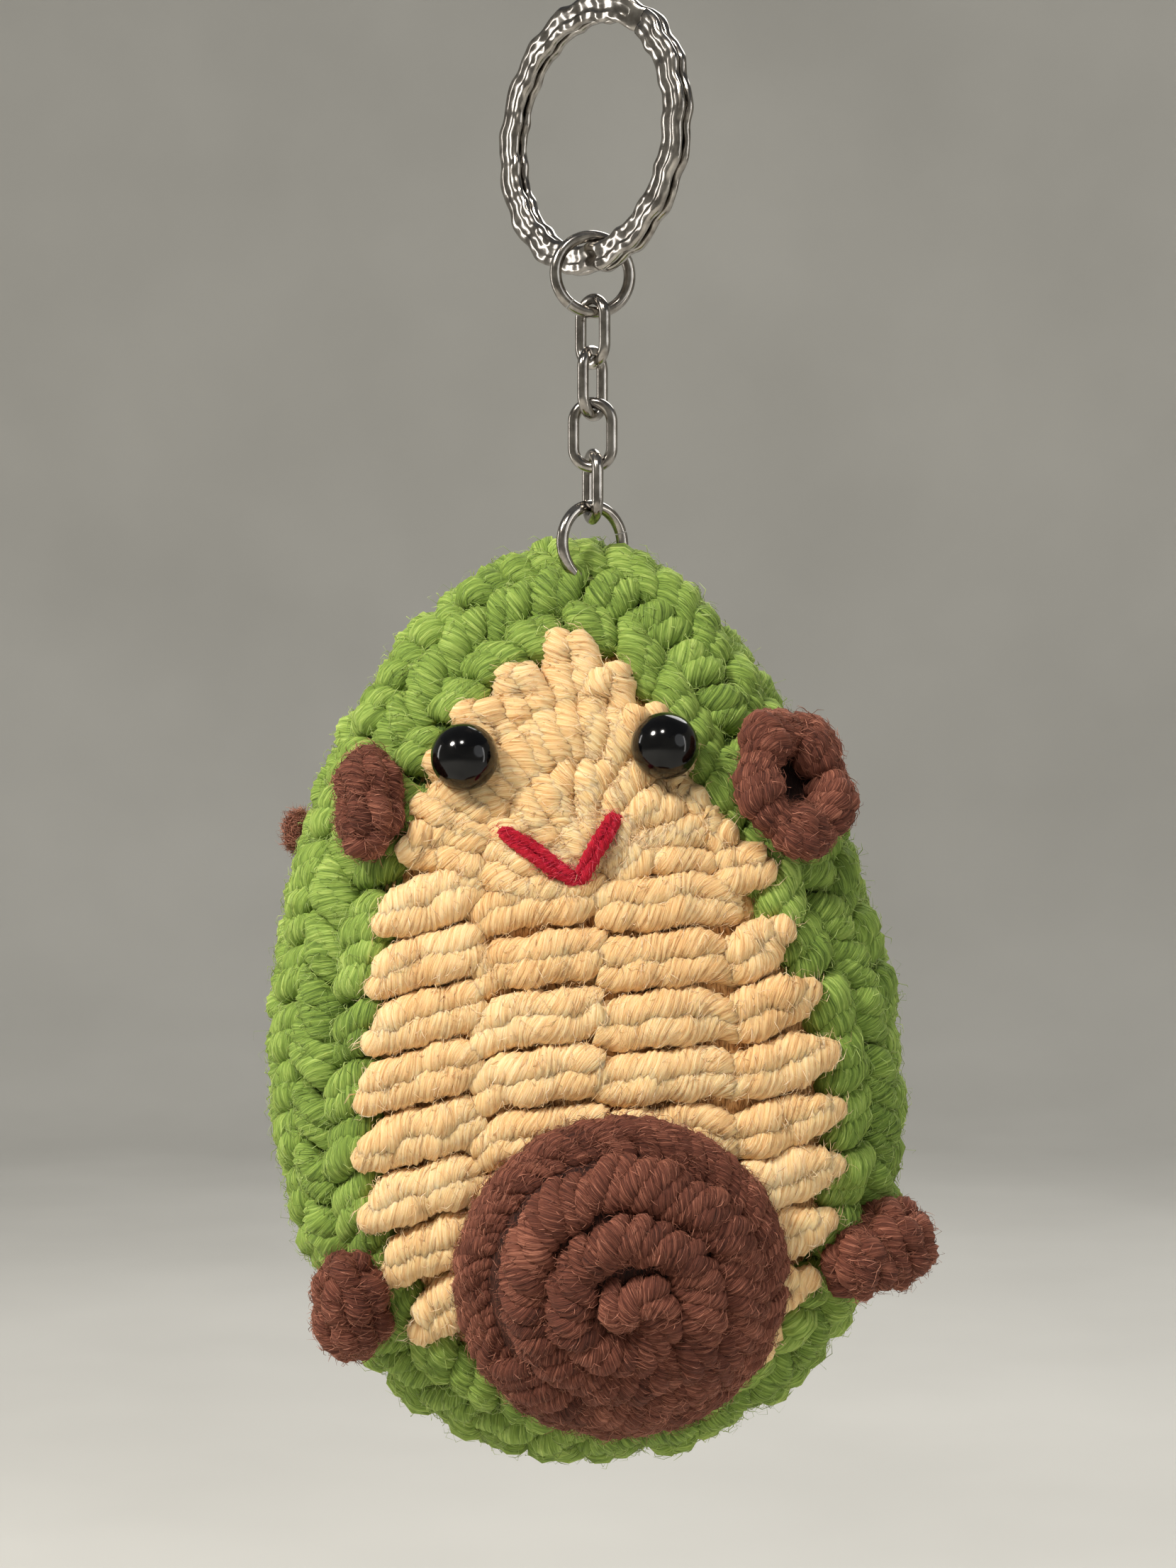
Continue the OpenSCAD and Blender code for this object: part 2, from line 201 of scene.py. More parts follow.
def flesh_outline(a):
    """Places (x, z) round the cream, from the top at angle 0."""
    lean = np.maximum(0, np.abs(np.sin(a)) * np.cos(a))
    x = FLESH_X + FLESH_LEAN * lean + FLESH_HALF_W * np.sin(a) * (1 - FLESH_TAPER * np.cos(a))
    return np.stack([x, FLESH_TOP - FLESH_H / 2 * (1 - np.cos(a))], -1)


class Grid:
    """A surface from a table of points, columns of angle by rows of share, both read smoothly."""

    def __init__(self, points):
        self.points = points
        along = np.gradient(points, axis=1)
        across = (np.roll(points, -1, 0) - np.roll(points, 1, 0)) / 2
        normals = unit(np.cross(along, across))
        middle = points.mean((0, 1))
        if ((points - middle) * normals).sum() < 0:
            normals = -normals
        self.normals = normals

    def __call__(self, a, f):
        columns, rows = self.points.shape[:2]
        u = np.asarray(a, float) / TAU * columns
        v = np.clip(np.asarray(f, float), 0, 1) * (rows - 1)
        i0 = np.floor(u).astype(int)
        j0 = np.minimum(np.floor(v).astype(int), rows - 2)
        du, dv = (u - i0)[..., None], (v - j0)[..., None]
        i0, i1 = i0 % columns, (i0 + 1) % columns

        def read(table):
            low = table[i0, j0] * (1 - du) + table[i1, j0] * du
            high = table[i0, j0 + 1] * (1 - du) + table[i1, j0 + 1] * du
            return low * (1 - dv) + high * dv

        return read(self.points), unit(read(self.normals))


def spin(count):
    """Evenly spaced angles round a full turn."""
    return np.arange(count) / count * TAU


def on_grid(surface, columns, shares):
    """The surface's points and normals on a grid of angles by shares."""
    return surface(*np.meshgrid(spin(columns), shares, indexing="ij"))


def flesh_face(columns, shares):
    """The front surface's points and normals over the cream, from its middle out to its edge."""
    middle = np.array(FLESH_MIDDLE)
    xz = middle + shares[None, :, None] * (flesh_outline(spin(columns))[:, None] - middle)
    return front(xz[..., 0], xz[..., 1])


def green_surface():
    """The green's surface, from under the cream at share 0 round the body to the back line at 1.

    Also gives how long the way is at each angle.
    """
    columns, rows, samples = 240, 200, 120
    a = spin(columns)
    inner, outer = flesh_outline(a), body_outline(a)
    inner = inner - unit(inner - np.array([CHAIN_X, BACK_LINE_Z])) * GREEN_OVERLAP
    back_line = np.stack([np.full(columns, BODY_X), BACK_LINE_Z + BACK_LINE_HALF * np.cos(a)], -1)
    t = np.linspace(0, 1, samples)
    ahead = np.sin(t * TAU / 4)[None, :, None]
    behind = (1 - np.cos(t[1:] * TAU / 4))[None, :, None]
    xz = np.concatenate([
        inner[:, None] + ahead * (outer - inner)[:, None],
        outer[:, None] + behind * (back_line - outer)[:, None],
    ], 1)
    side = np.concatenate([-np.ones(len(t)), np.ones(len(t) - 1)])
    x, z = xz[..., 0], xz[..., 1]
    line = np.stack([x, mid_y(z) + side * depth(x, z), z], -1)
    run = np.concatenate([np.zeros((columns, 1)),
                          np.cumsum(np.linalg.norm(np.diff(line, axis=1), axis=2), 1)], 1)
    table = np.empty((columns, rows, 3))
    for i in range(columns):
        want = np.linspace(0, run[i, -1], rows)
        for k in range(3):
            table[i, :, k] = np.interp(want, run[i], line[i, :, k])
    return Grid(table), run[:, -1]


# ---- strands ----

class Knit:
    """Gathers plied strands, loose fibres and sheets painted dark as shade, and turns them into one mesh.

    Each point keeps three values for the yarn's material: fiber, its place along the plies; shade,
    the painted shade that darkens it, a little in a groove and most on the sheets under the fabric,
    and that lightens the loose fibres as a painted highlight; and tint, how its strand differs from the
    others.
    """

    WANDER = 0.11  # how far a strand strays from its line, in radii
    UNEVEN = 0.08  # how much a strand's radius swells and thins
    PLY_SPREAD = 1.5  # how far apart the plies lie in the material's pattern
    FIBRE_SHADE = -0.5  # painted highlight: loose fibres are painted lighter than the plies, for the light they catch
    FIBRE_TINT = 3.4
    FIBRE_RINGS = 3
    FIBRE_SIDES = 3

    def __init__(self, plies=7, lead=5.2, ridge=0.09, step=0.58):
        """lead is the length in which the plies turn once, and step the space between rings."""
        self.plies, self.lead, self.ridge, self.step = plies, lead, ridge, step
        self.verts, self.quads, self.tris, self.ends = [], [], [], []
        self.fiber, self.shade, self.tint = [], [], []
        self.seeds = []
        self.count = 0

    def strand(self, line, normals, radii, tint=None):
        """A twisted strand along a line of points, with closed ends."""
        run = np.concatenate([[0], np.cumsum(np.linalg.norm(np.diff(line, axis=0), axis=1))])
        rings = max(5, int(math.ceil(run[-1] / self.step)) + 1)
        s = np.linspace(0, run[-1], rings)
        line = np.stack([np.interp(s, run, line[:, k]) for k in range(3)], 1)
        normals = np.stack([np.interp(s, run, normals[:, k]) for k in range(3)], 1)
        radii = np.interp(s, run, radii)
        drift = np.sin(s[:, None] * rng.uniform(0.5, 1.1, 3) + rng.uniform(0, TAU, 3))
        line = line + drift * radii.mean() * self.WANDER
        tangent = unit(np.gradient(line, axis=0))
        out = unit(normals - (normals * tangent).sum(1, keepdims=True) * tangent)
        side = np.cross(tangent, out)
        around = self.plies * 2
        local = spin(around)
        turn = rng.uniform(0, TAU) - TAU * s / self.lead
        angle = local[None] + turn[:, None]
        groove = (np.arange(around) % 2 == 0).astype(float)
        wave = 1 + self.UNEVEN * np.sin(s * rng.uniform(1.2, 2.2) + rng.uniform(0, TAU))
        rough = rng.normal(0, 0.03, around)
        rougher = rng.normal(0, 0.025, (rings, around))
        reach = (radii * wave)[:, None] * (1 - self.ridge * groove[None] + rough + rougher)
        across, along = np.cos(angle)[..., None], np.sin(angle)[..., None]
        points = line[:, None] + out[:, None] * (reach[..., None] * across) \
            + side[:, None] * (reach[..., None] * along)
        fiber = np.stack([
            np.broadcast_to(np.cos(local) * self.PLY_SPREAD, angle.shape),
            np.broadcast_to(np.sin(local) * self.PLY_SPREAD, angle.shape),
            np.broadcast_to(s[:, None], angle.shape),
        ], -1) + rng.uniform(0, 60, 3)
        tint = rng.normal(0, 1) if tint is None else tint
        place = np.arange(around)
        ring_at = self.count + np.arange(rings)[:, None] * around
        at, after = ring_at[:-1] + place, ring_at[:-1] + (place + 1) % around
        self.quads.append(np.stack([at, after, after + around, at + around], -1).reshape(-1, 4))
        self.ends += [(ring_at[0] + place)[::-1], ring_at[-1] + place]
        self.verts.append(points.reshape(-1, 3))
        self.fiber.append(fiber.reshape(-1, 3))
        # Painted shade in the grooves between the plies.
        self.shade.append(np.broadcast_to(groove, angle.shape).ravel())
        self.tint.append(np.full(rings * around, tint))
        self.count += rings * around
        outward = out[:, None] * across + side[:, None] * along
        keep = across.ravel() > -0.1
        circling = np.cross(tangent[:, None], outward)
        ply = unit(tangent[:, None] * self.lead - circling * (TAU * radii[:, None, None]))
        self.seeds.append(np.concatenate([
            points.reshape(-1, 3), outward.reshape(-1, 3), ply.reshape(-1, 3), fiber.reshape(-1, 3),
        ], 1)[keep])

    def fuzz(self, how_many, length=1.5, reach=0.42, width=0.046, stray=0.5):
        """Loose fibres that lie along the plies and lift off them by about reach."""
        pool = np.concatenate(self.seeds)
        pick = pool[rng.integers(0, len(pool), how_many)]
        root, out, ply, fiber = pick[:, :3], pick[:, 3:6], pick[:, 6:9], pick[:, 9:12]
        way = unit(ply * rng.choice([-1, 1], (how_many, 1)) + rng.normal(0, stray, (how_many, 3)))
        way = unit(way - (way * out).sum(1, keepdims=True) * out * 0.8)
        long = length * rng.uniform(0.45, 1.4, (how_many, 1))
        high = reach * rng.uniform(0.2, 1.3, (how_many, 1)) ** 1.5
        t = np.array([0, 0.5, 1.0])
        rise = np.array([-0.15, 1.0, 0.7])
        lift = (high * rise)[..., None]
        droop = (long ** 2 * t ** 2 * 0.16)[..., None]
        line = root[:, None] + way[:, None] * (long * t)[..., None] + out[:, None] * lift
        line = line - out[:, None] * droop
        tangent = unit(np.gradient(line, axis=1))
        one = unit(np.cross(tangent, rng.normal(0, 1, (how_many, 1, 3))))
        two = np.cross(tangent, one)
        taper = np.array([0.8, 1, 0.3])[None, :, None, None]
        thin = width * rng.uniform(0.6, 1.2, (how_many, 1, 1, 1)) * taper
        sides, each = self.FIBRE_SIDES, self.FIBRE_RINGS * self.FIBRE_SIDES
        angle = spin(sides)
        ring = one[:, :, None] * np.cos(angle)[:, None] + two[:, :, None] * np.sin(angle)[:, None]
        points = line[:, :, None] + ring * thin
        base = self.count + np.arange(how_many)[:, None] * each
        k = np.arange(each - sides)
        after = k // sides * sides + (k + 1) % sides
        quads = np.stack([k, after, after + sides, k + sides], -1)
        self.quads.append((base[:, :, None] + quads[None]).reshape(-1, 4))
        self.tris += [base + np.arange(sides)[::-1], base + np.arange(each - sides, each)]
        self.verts.append(points.reshape(-1, 3))
        self.fiber.append(np.repeat(fiber, each, 0))
        # Loose fibres get a painted highlight.
        self.shade.append(np.full(how_many * each, self.FIBRE_SHADE))
        self.tint.append(np.repeat(rng.normal(0, self.FIBRE_TINT, how_many), each))
        self.count += how_many * each

    # Unless told otherwise a sheet is painted at shade 3: painted shade, as dark as the shade deep in the
    # fabric's gaps.
    def sheet(self, outer, inner, shade=3.0):
        """A closed thin sheet between two grids of points, wrapped round in the first direction."""
        n, m = outer.shape[:2]
        points = np.concatenate([outer.reshape(-1, 3), inner.reshape(-1, 3)])
        under = self.count + n * m
        i, j = np.meshgrid(np.arange(n), np.arange(m - 1), indexing="ij")
        a, b = self.count + i * m + j, self.count + (i + 1) % n * m + j
        skin = np.stack([a, b, b + 1, a + 1], -1).reshape(-1, 4)
        lining = skin[:, ::-1] + n * m
        k = np.arange(n)
        p, q = self.count + k * m, self.count + (k + 1) % n * m
        wall = np.stack([p, p + n * m, q + n * m, q], -1)
        far = np.stack([q, q + n * m, p + n * m, p], -1) + (m - 1)
        self.quads += [skin, lining, wall, far]
        self.verts.append(points)
        self.fiber.append(points)
        self.shade.append(np.full(len(points), shade))
        self.tint.append(np.zeros(len(points)))
        self.count = under + n * m

    def shade_sheet(self, points, normals, faces=SHADE_SHEET):
        """A thin sheet painted dark as shade, lying between two depths under a surface's points, that
        stands for the shade in the fabric's gaps.
        """
        self.sheet(points - normals * faces[0], points - normals * faces[1])

    def make(self, name, material, push=None):
        """The mesh object, after push has moved its points."""
        verts = np.concatenate(self.verts)
        if push is not None:
            verts = push(verts)
        groups = [np.concatenate(self.quads)]
        if self.tris:
            groups.append(np.concatenate(self.tris))
        if self.ends:
            groups.append(np.stack(self.ends))
        values = {
            "shade": np.concatenate(self.shade),
            "tint": np.concatenate(self.tint),
            "fiber": np.concatenate(self.fiber),
        }
        return mesh_object(name, verts, groups, material, values)


def mesh_object(name, verts, groups, material, values=None):
    """One object from points in millimetres and arrays of faces, with named values on its points."""
    mesh = bpy.data.meshes.new(name)
    corners = np.concatenate([g.ravel() for g in groups]).astype(np.int32)
    sizes = np.concatenate([np.full(len(g), g.shape[1]) for g in groups])
    starts = np.concatenate([[0], np.cumsum(sizes)[:-1]]).astype(np.int32)
    mesh.vertices.add(len(verts))
    mesh.vertices.foreach_set("co", (verts * MM).astype(np.float32).ravel())
    mesh.loops.add(len(corners))
    mesh.loops.foreach_set("vertex_index", corners)
    mesh.polygons.add(len(sizes))
    mesh.polygons.foreach_set("loop_start", starts)
    mesh.update(calc_edges=True)
    mesh.validate()
    for key, data in (values or {}).items():
        kind = "FLOAT_VECTOR" if data.ndim == 2 else "FLOAT"
        layer = mesh.attributes.new(key, kind, "POINT")
        layer.data.foreach_set("vector" if data.ndim == 2 else "value", data.astype(np.float32).ravel())
    mesh.materials.append(material)
    obj = bpy.data.objects.new(name, mesh)
    bpy.context.scene.collection.objects.link(obj)
    return obj


def clear_of_ring(verts):
    """Presses yarn aside where the bottom jump ring passes through it."""
    keep = RING_WIRE_R + RING_CLEARANCE
    turn = math.radians(RING_TURN)
    across = np.array([math.cos(turn), math.sin(turn), 0])
    centre = np.array([0, 0, RING_Z])
    off = verts - centre
    u, w = off @ across, off[:, 2]
    r = np.maximum(np.hypot(u, w), 1e-6)
    on_ring = centre + (u / r * RING_R)[:, None] * across + np.stack(
        [np.zeros_like(r), np.zeros_like(r), w / r * RING_R], 1)
    gap = verts - on_ring
    far = np.linalg.norm(gap, axis=1)
    inside = far < keep
    verts = verts.copy()
    verts[inside] = on_ring[inside] + unit(gap[inside]) * keep
    return verts


def swell(t, low, high, power=0.6):
    """Rises from low to high at the middle of t and falls back."""
    return low + (high - low) * np.sin(math.pi * t) ** power


def leg(knit, surface, start, end, radius, low, high, thin, tint):
    """One strand over a surface between two of its places, sunk to low at its ends, thin there too."""
    t = np.linspace(0, 1, 26)
    start, end = np.array(start, float), np.array(end, float)
    way = start + (end - start) * t[:, None]
    points, normals = surface(way[:, 0], way[:, 1])
    points = points + normals * swell(t, low, high)[:, None]
    knit.strand(points, normals, swell(t, radius * thin, radius, 0.7), tint)


# ---- materials ----

def shader(name):
    """A new material, its node tree and its Principled shader."""
    mat = bpy.data.materials.new(name)
    mat.use_nodes = True
    tree = mat.node_tree
    return mat, tree, tree.nodes["Principled BSDF"]


def node(tree, kind, **values):
    """A new shader node, with values for its inputs and its own settings."""
    made = tree.nodes.new("ShaderNode" + kind)
    for key, value in values.items():
        if key in made.inputs:
            made.inputs[key].default_value = value
        else:
            setattr(made, key, value)
    return made


def set_inputs(made, values):
    for key, value in values.items():
        made.inputs[key].default_value = value


def ramp(tree, source, stops):
    """The colour of a value, by stops of (place, sRGB colour)."""
    made = node(tree, "ValToRGB")
    while len(made.color_ramp.elements) < len(stops):
        made.color_ramp.elements.new(0.5)
    for element, (place, colour) in zip(made.color_ramp.elements, stops):
        element.position = place
        element.color = (*linear(colour), 1)
    tree.links.new(source, made.inputs[0])
    return made.outputs[0]


def linear(colour):
    """A colour given as sRGB values from 0 to 255."""
    return [(c / 255 / 12.92) if c < 10 else ((c / 255 + 0.055) / 1.055) ** 2.4 for c in colour]


def math_node(tree, operation, *values):
    """The result of a Math node on numbers and sockets."""
    made = node(tree, "Math", operation=operation)
    for socket, value in zip(made.inputs, values):
        if isinstance(value, (int, float)):
            socket.default_value = value
        else:
            tree.links.new(value, socket)
    return made.outputs[0]


def span(tree, source, low, high):
    """A value from 0 to 1, mapped to the span from low to high."""
    made = node(tree, "MapRange")
    set_inputs(made, {"To Min": low, "To Max": high})
    tree.links.new(source, made.inputs["Value"])
    return made.outputs[0]


def bump(tree, bsdf, height, strength, distance):
    made = node(tree, "Bump", Strength=strength, Distance=distance)
    tree.links.new(height, made.inputs["Height"])
    tree.links.new(made.outputs[0], bsdf.inputs["Normal"])


def object_noise(tree, **values):
    """Noise in the object's own metres."""
    made = node(tree, "TexNoise", **values)
    tree.links.new(node(tree, "TexCoord").outputs["Object"], made.inputs["Vector"])
    return made.outputs["Fac"]


def yarn(name, dark, mid, bright, deep, fine=1.0, soft=0.25):
    """Fibre streaks along the plies, with painted shade in the grooves between them and on the sheets under
    the fabric, and a fuzzy sheen.
    """
    mat, tree, bsdf = shader(name)
    link = tree.links.new
    fiber = node(tree, "Attribute", attribute_name="fiber").outputs["Vector"]
    shade = node(tree, "Attribute", attribute_name="shade").outputs["Fac"]
    tint = node(tree, "Attribute", attribute_name="tint").outputs["Fac"]
    stretch = node(tree, "Mapping", Scale=(2.6 * fine, 2.6 * fine, 0.5 * fine))
    link(fiber, stretch.inputs["Vector"])
    streak = node(tree, "TexNoise", Scale=1.6, Detail=4.0, Roughness=0.62)
    link(stretch.outputs[0], streak.inputs["Vector"])
    patch = node(tree, "TexNoise", Scale=0.16, Detail=2.0)
    link(fiber, patch.inputs["Vector"])
    level = math_node(tree, "MULTIPLY_ADD", streak.outputs["Fac"], 1.5, -0.2)
    level = math_node(tree, "ADD", level, math_node(tree, "MULTIPLY", tint, 0.04))
    patchy = math_node(tree, "MULTIPLY", math_node(tree, "SUBTRACT", patch.outputs["Fac"], 0.5), 0.45)
    level = math_node(tree, "ADD", level, patchy)
    # Painted shade: the shade value darkens the colour a little in the plies' grooves, and down to the deep
    # colour on the dark sheets under the fabric.
    level = math_node(tree, "SUBTRACT", level, math_node(tree, "MULTIPLY", shade, 0.12))
    colour = ramp(tree, level, [(0.0, deep), (0.25, dark), (0.55, mid), (0.9, bright)])
    link(colour, bsdf.inputs["Base Color"])
    bump(tree, bsdf, streak.outputs["Fac"], 0.8, 0.0002)
    set_inputs(bsdf, {
        "Roughness": 0.8,
        "Specular IOR Level": 0.25,
        "Sheen Weight": 0.35,
        "Sheen Roughness": 0.45,
        "Sheen Tint": (*linear(bright), 1),
        "Subsurface Weight": soft,
        "Subsurface Radius": (1.0, 0.7, 0.4),
        "Subsurface Scale": 0.0012,
    })
    return mat


def metal(name):
    """Bright plate, a little tarnished and worn."""
    mat, tree, bsdf = shader(name)
    grime = object_noise(tree, Scale=700.0, Detail=5.0, Roughness=0.6)
    colour = ramp(tree, grime, [(0.3, (122, 116, 110)), (0.7, (182, 177, 170))])
    tree.links.new(colour, bsdf.inputs["Base Color"])
    tree.links.new(span(tree, grime, 0.09, 0.24), bsdf.inputs["Roughness"])
    bump(tree, bsdf, grime, 0.12, 0.00004)
    set_inputs(bsdf, {"Metallic": 1.0})
    return mat


def plastic(name, low, high, roughness):
    """Smooth plastic, its colour and gloss slightly uneven."""
    mat, tree, bsdf = shader(name)
    noise = object_noise(tree, Scale=420.0, Detail=3.0)
    tree.links.new(ramp(tree, noise, [(0.35, low), (0.7, high)]), bsdf.inputs["Base Color"])
    tree.links.new(span(tree, noise, roughness * 0.7, roughness * 1.4), bsdf.inputs["Roughness"])
    set_inputs(bsdf, {"Specular IOR Level": 0.35})
    return mat


# The last colour of each yarn is its painted shade, for the grooves and the dark sheets under the fabric.
GREEN = yarn("green yarn", (82, 106, 40), (126, 152, 66), (180, 200, 110), (38, 52, 18))
CREAM = yarn("cream yarn", (212, 164, 108), (240, 202, 148), (252, 226, 182), (120, 80, 44), soft=0.4)
BROWN = yarn("brown yarn", (62, 31, 23), (108, 60, 46), (190, 126, 102), (24, 10, 7), 1.3, 0.1)
RED = yarn("red yarn", (140, 8, 28), (196, 18, 46), (228, 64, 88), (80, 4, 14), 1.3)
FILL = yarn("fibrefill", (200, 200, 196), (226, 226, 222), (246, 246, 244), (160, 160, 156))
NICKEL = metal("nickel plate")
BLACK = plastic("black plastic", (2, 2, 3), (7, 7, 8), 0.1)
WHITE = plastic("washer plastic", (214, 214, 208), (236, 236, 232), 0.45)


def put(obj, body, node_name):
    """A piece that rides on a body and stands for a CAD node, which it hides."""
    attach(obj, body)
    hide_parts(node_name)


def put_padded(obj, node_name):
    put(obj, "avocado_body", node_name)


def finish_nodes(material, *names):
    """Gives CAD nodes that stay in view their material."""
    for name in names:
        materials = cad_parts[name].data.materials
        materials.clear()
        materials.append(material)


# ---- green rounds ----

def stitch_rounds(surface, lengths):
    """Yields each round's number and share of the way, its stitches' angles, and their pitch."""
    rounds = int(round(lengths.mean() / ROUND_H))
    a = np.linspace(0, TAU, 721)
    for i in range(rounds):
        f = (i + 0.5) / rounds
        line, _ = surface(a, np.full(a.shape, f))
        run = np.concatenate([[0], np.cumsum(np.linalg.norm(np.diff(line, axis=0), axis=1))])
        n = max(5, int(round(run[-1] / STITCH_W)))
        at = (np.arange(n) + (0.5 * (i % 2)) + rng.uniform(-0.08, 0.08, n)) / n * run[-1]
        yield i, f, np.interp(at % run[-1], run, a), run[-1] / n


def local_scale(surface, a, f):
    """How much angle and how much share one millimetre is at a place."""
    h = 0.01
    here, _ = surface(a, f)
    side, _ = surface(a + h, f)
    ahead, _ = surface(a, min(f + h, 1.0) if f < 0.5 else f - h)
    return h / max(np.linalg.norm(side - here), 1e-6), h / max(np.linalg.norm(ahead - here), 1e-6)


def single_crochet(knit, surface, a, f, pitch, slant):
    """One stitch, two legs side by side that lean to the slant's side as they cross the round."""
    da, df = local_scale(surface, a, f)
    da = min(da, 0.5)
    jitter = rng.normal(0, 0.25, 4)
    size = rng.uniform(0.92, 1.08)
    tint = rng.normal(0, 1)
    lean, half = 1.9 * slant, 3.1
    for shift, r in ((-0.18, 2.05), (0.18, 1.9)):
        start = (a + (shift * pitch - lean + jitter[0]) * da, max(f + (half + jitter[2]) * df, 0.0))
        end = (a + (shift * pitch + lean + jitter[1]) * da, f + (jitter[3] - half) * df)
        leg(knit, surface, start, end, r * size, low=-3.0, high=-1.5 + rng.normal(0, 0.22),
            thin=0.55, tint=tint + rng.normal(0, 0.4))


def green_panels():
    """The front rim, the edge and the back, in rounds whose stitches lean left and right by turns."""
    surface, lengths = green_surface()
    knits = {key: Knit(step=piece[-1]) for key, piece in GREEN_PIECES.items()}
    for i, f, angles, pitch in stitch_rounds(surface, lengths):
        key = "front" if i < FRONT_ROUNDS else "edge" if i < FRONT_ROUNDS + EDGE_ROUNDS else "back"
        for a in angles:
            single_crochet(knits[key], surface, a, f, pitch, 1 if i % 2 == 0 else -1)
    for key, (node_name, start, stop, fibres, _) in GREEN_PIECES.items():
        # A sheet painted dark as the shade in the gaps between the stitches.
        knits[key].shade_sheet(*on_grid(surface, 160, np.linspace(start, stop, 24)))
        knits[key].fuzz(fibres)
        knits[key].fuzz(1800, 1.7, 0.85, 0.024, 0.9)
        put_padded(knits[key].make("green_" + key, GREEN, clear_of_ring), node_name)


# ---- cream panel ----

def flesh_edge(z, side):
    """The x of the cream panel's outline at a height, on the left (-1) or the right (1)."""
    a = np.linspace(0, math.pi, 200) * side
    outline = flesh_outline(a)
    return float(np.interp(-z, -outline[:, 1], outline[:, 0]))


def post(knit, start, end, spread=1.05, radius=1.92, droop=1.6, tip=0.0):
    """A long stitch of two strands from start to end, both (x, z), bent down at its far end.

    Where tip is over 0 the far end is drawn out to a point by that much, and lies over the green.
    """
    low, high = -2.6, -1.5
    start, end = np.array(start, float), np.array(end, float)
    way = end - start
    length = np.linalg.norm(way)
    along = way / length
    up = np.array([-along[1], along[0]])
    up = up if up[1] > 0 else -up
    tint = rng.normal(0, 1)
    t = np.linspace(0, 1, 34)
    for k in (1, -1):
        s = t * (1 + tip * (0.35 if k == 1 else 1) / length)
        if tip:
            narrow = 1 - 0.5 * np.clip((s - 0.66) / 0.34, 0, 1) ** 1.5
        else:
            narrow = 1 - 0.3 * np.clip((s - 0.75) / 0.25, 0, 1)
        open_up = np.clip(t / 0.16, 0, 1) ** 0.7
        off = k * spread * narrow * (0.55 + 0.45 * open_up) + rng.normal(0, 0.08)
        off = off - droop * np.clip((s - 0.72) / 0.28, 0, 1.2) ** 2
        xz = start[None] + way[None] * s[:, None] + up[None] * off[:, None]
        points, normals = front(xz[:, 0], xz[:, 1])
        if tip:
            lift = np.where(t < 0.5, swell(t, low + 0.1, high), high + 1.2 * np.clip((t - 0.5) / 0.4, 0, 1))
            fade = 1 - 0.32 * np.clip((t - 0.72) / 0.28, 0, 1) ** 1.3
            round_off = np.sqrt(np.clip((1 - t) / 0.05, 0.12, 1))
            r = radius * fade * round_off * np.clip(0.7 + t * 1.5, 0, 1)
        else:
            lift = swell(0.1 + 0.9 * t, low, high, 0.5)
            r = swell(0.1 + 0.9 * t, radius * 0.62, radius, 0.5)
        points = points + normals * (lift + rng.normal(0, 0.06))[:, None]
        knit.strand(points, normals, r * rng.uniform(0.96, 1.05), tint + rng.normal(0, 0.4))


def row_of_posts(knit, z):
    """One row across the cream: a post each side of the foundation chain, and one beyond each."""
    left, right = flesh_edge(z - 2.5, -1), flesh_edge(z + 2.5, 1)
    if z > LAST_INNER_Z:
        post(knit, (CHAIN_X + 0.3, z + 0.9), (max(INNER_LEFT_X, left + 3), z - 0.9))
        post(knit, (CHAIN_X - 0.2, z - 0.7), (min(INNER_RIGHT_X, right - 3), z + 0.7))
    if left < INNER_LEFT_X - 4:
        post(knit, (INNER_LEFT_X + 0.6, z + 1.7), (left + 2.0, z - 1.7), tip=2.2, droop=0.3)
    if right > INNER_RIGHT_X + 4:
        post(knit, (INNER_RIGHT_X - 0.6, z - 0.6), (right - 2.9, z + 2.1), tip=2.2, droop=-0.4)


def fan(knit):
    """Stitches that turn over the top of the foundation, then tall ones out to the crown's tips."""
    middle = np.array(FAN_AT)
    for k in range(FAN_INNER):
        angle = math.radians(FAN_FROM + FAN_SWEEP * k / (FAN_INNER - 1)) + rng.normal(0, 0.03)
        way = np.array([math.cos(angle), math.sin(angle)])
        swerve = np.array([math.cos(angle + 0.25), math.sin(angle + 0.25)])
        post(knit, middle + swerve * 6.6, middle + way * 1.0, spread=0.95, radius=1.6, droop=0.2)
        post(knit, middle + swerve * 6.0, middle + way * FAN_R, spread=1.3, radius=1.8, droop=0.5)
    for tip in CROWN_TIPS:
        off = np.array(tip) - middle
        far = np.linalg.norm(off)
        way = off / far
        low = FAN_R - 0.4
        if far > FAN_R + 8.5:
            half = (low + far) / 2
            post(knit, middle + way * low, middle + way * (half + 0.6), spread=1.1, radius=1.8, droop=0.2)
            low = half - 0.8
        post(knit, middle + way * low, middle + way * (far - 1.6), 1.25, 1.9, 0.2, tip=1.6)


def cream_panel():
    knit = Knit()
    for i in range(ROWS):
        row_of_posts(knit, FIRST_ROW_Z - ROW * i + rng.normal(0, 0.12))
    fan(knit)
    # A sheet painted dark as the shade in the gaps between the posts.
    knit.shade_sheet(*flesh_face(160, np.linspace(0.02, 1.0, 30)))
    knit.fuzz(6600)
    knit.fuzz(1500, 1.7, 0.7, 0.024, 0.9)
    put_padded(knit.make("cream_panel", CREAM), "flesh_panel")


# ---- pit ----

